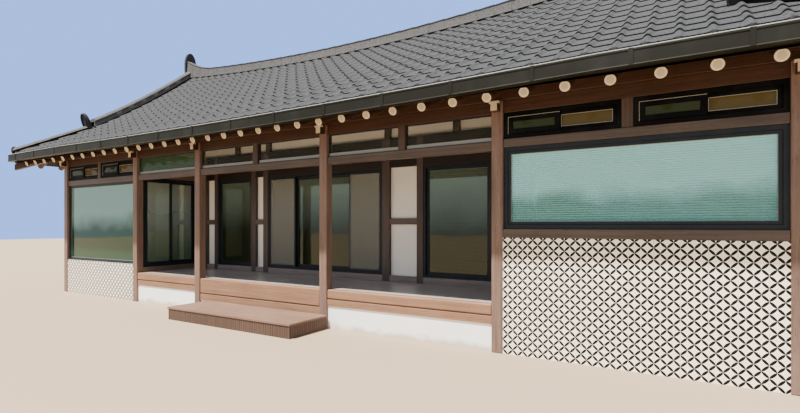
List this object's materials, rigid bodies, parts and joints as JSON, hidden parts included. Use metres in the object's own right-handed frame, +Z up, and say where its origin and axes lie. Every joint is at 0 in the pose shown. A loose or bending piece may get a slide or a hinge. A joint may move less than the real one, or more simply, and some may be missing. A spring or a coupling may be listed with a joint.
{
  "type": "hanok house",
  "caption": "Korean timber house with a hip-and-gable tiled roof, an open front porch between two rooms, tiled parapets and sliding glass doors.",
  "frame": {"origin": "on the ground, under the middle of the eaves", "axes": "+X along the front from left to right, +Y into the house, +Z up; the porch and step face -Y"},
  "size_m": [15.94, 8.24, 6.82],
  "materials": {
    "timber": "satin brown stained timber",
    "plaster": "matt white plaster",
    "wall_tile": "glazed ceramic tile",
    "black_frame": "charcoal powder coat",
    "glass": "clear, faint green",
    "roof_tile": "stone-coated pressed metal",
    "gutter_metal": "semi-matt dark paint",
    "floorboard": "varnished floor boards"
  },
  "bodies": {
    "house": {"foundation": "plaster", "gable_left": "plaster", "gable_right": "plaster", "recess_wall": "plaster", "back_wall": "plaster", "left_wall": "plaster", "right_wall": "plaster", "room_floor": "floorboard", "porch_deck": "floorboard", "porch_edge_board": "timber", "porch_step": "timber", "front_column_1": "timber", "front_column_2": "timber", "front_column_3": "timber", "front_column_4": "timber", "front_column_5": "timber", "front_column_6": "timber", "front_lintel": "timber", "right_room_sill": "timber", "front_eave": "timber", "back_eave": "timber", "left_eave": "timber", "right_eave": "timber", "left_room_porch_wall": "timber", "right_room_porch_wall": "timber", "recess_timber_frame": "timber", "back_timber_frame": "timber", "left_timber_frame": "timber", "right_timber_frame": "timber", "front_transom_glass": "glass", "back_window_glass": "glass", "left_window_glass": "glass", "right_window_glass": "glass", "left_room_tile_wall": "wall_tile", "right_room_tile_wall": "wall_tile", "left_room_window": "black_frame", "right_room_window": "black_frame", "right_room_porch_window": "black_frame", "side_door_frame": "black_frame", "left_tall_window": "black_frame", "centre_door_frame": "black_frame", "right_tall_window": "black_frame", "roof_front": "roof_tile", "roof_back": "roof_tile", "roof_left_end": "roof_tile", "roof_right_end": "roof_tile", "main_ridge": "roof_tile", "corner_ridge_front_left": "roof_tile", "corner_ridge_front_right": "roof_tile", "corner_ridge_back_left": "roof_tile", "corner_ridge_back_right": "roof_tile", "gutter": "gutter_metal"},
    "side_door_leaf": {"side_door_leaf": "black_frame"},
    "centre_door_leaf_left": {"centre_door_leaf_left": "black_frame"},
    "centre_door_leaf_right": {"centre_door_leaf_right": "black_frame"}
  },
  "joints": [
    {"name": "side_door_slide", "type": "slide", "parent": "house", "child": "side_door_leaf", "axis": [0, -1, 0], "range_m": [0, 0.595]},
    {"name": "centre_door_left_slide", "type": "slide", "parent": "house", "child": "centre_door_leaf_left", "axis": [-1, 0, 0], "range_m": [0, 0.69]},
    {"name": "centre_door_right_slide", "type": "slide", "parent": "house", "child": "centre_door_leaf_right", "axis": [1, 0, 0], "range_m": [0, 0.69]}
  ]
}
